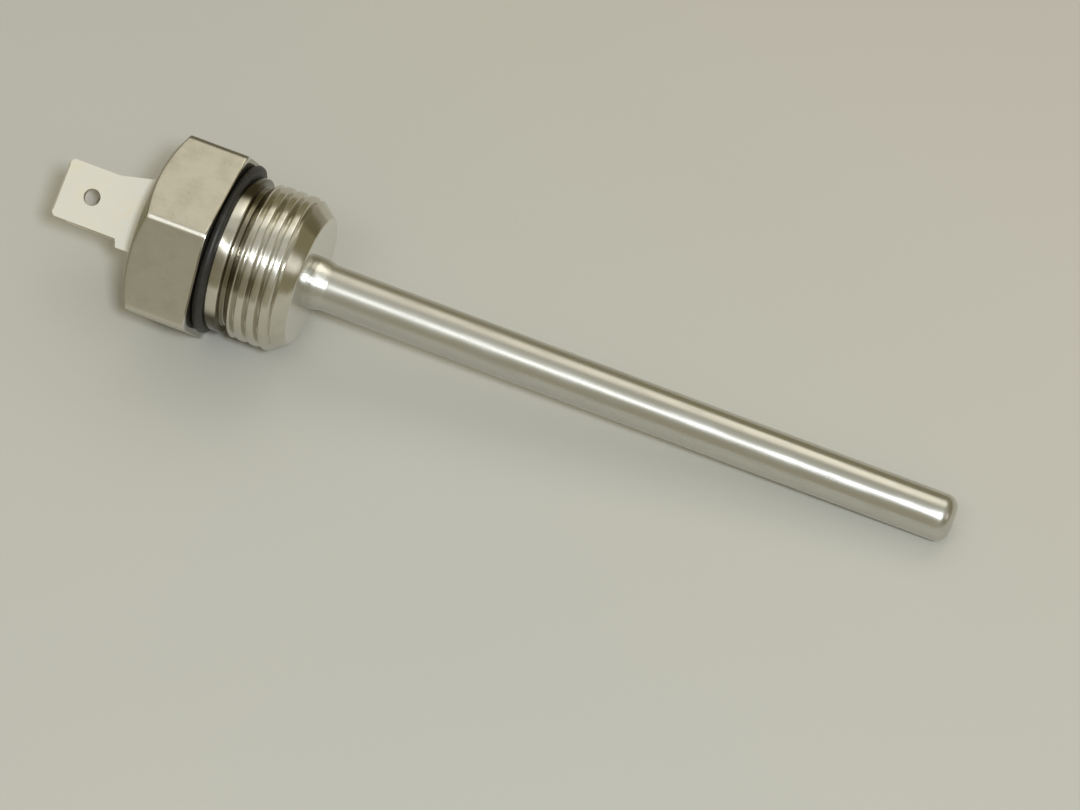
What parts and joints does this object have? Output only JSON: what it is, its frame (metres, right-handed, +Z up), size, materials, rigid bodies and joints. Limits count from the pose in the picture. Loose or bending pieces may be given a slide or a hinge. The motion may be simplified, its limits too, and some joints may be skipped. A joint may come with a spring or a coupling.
{
  "type": "ntc temperature sensor",
  "caption": "Screw-in temperature sensor with hexagon head, threaded shank, rubber seal, long closed probe tube and flat push-on blades.",
  "frame": {"origin": "on the surface the sensor lies on, under the middle of its box", "axes": "+X along the lying probe towards its tip, +Z up from the surface"},
  "size_m": [0.098, 0.022, 0.0196],
  "materials": {
    "fitting_metal": "nickel plated, satin",
    "seal_rubber": "smooth black",
    "tube_steel": "bright drawn",
    "braze_metal": "bright, as flowed",
    "carrier_plastic": "moulded",
    "resin": "cast",
    "liner_plastic": "extruded",
    "bead_coat": "dipped",
    "filler_compound": "set paste",
    "blade_metal": "tin plated, matt",
    "wire_metal": "tinned",
    "sleeve_plastic": "extruded"
  },
  "bodies": {
    "root": {"hex_fitting": "fitting_metal", "sealing_ring": "seal_rubber", "probe_tube": "tube_steel", "braze_collar": "braze_metal", "terminal_carrier": "carrier_plastic", "potting_resin": "resin", "tube_liner": "liner_plastic", "thermistor_bead": "bead_coat", "tip_filler": "filler_compound", "terminal_blade_front": "blade_metal", "terminal_blade_rear": "blade_metal", "lead_wire_front": "wire_metal", "lead_wire_rear": "wire_metal", "lead_sleeve_front": "sleeve_plastic", "lead_sleeve_rear": "sleeve_plastic"}
  },
  "joints": []
}
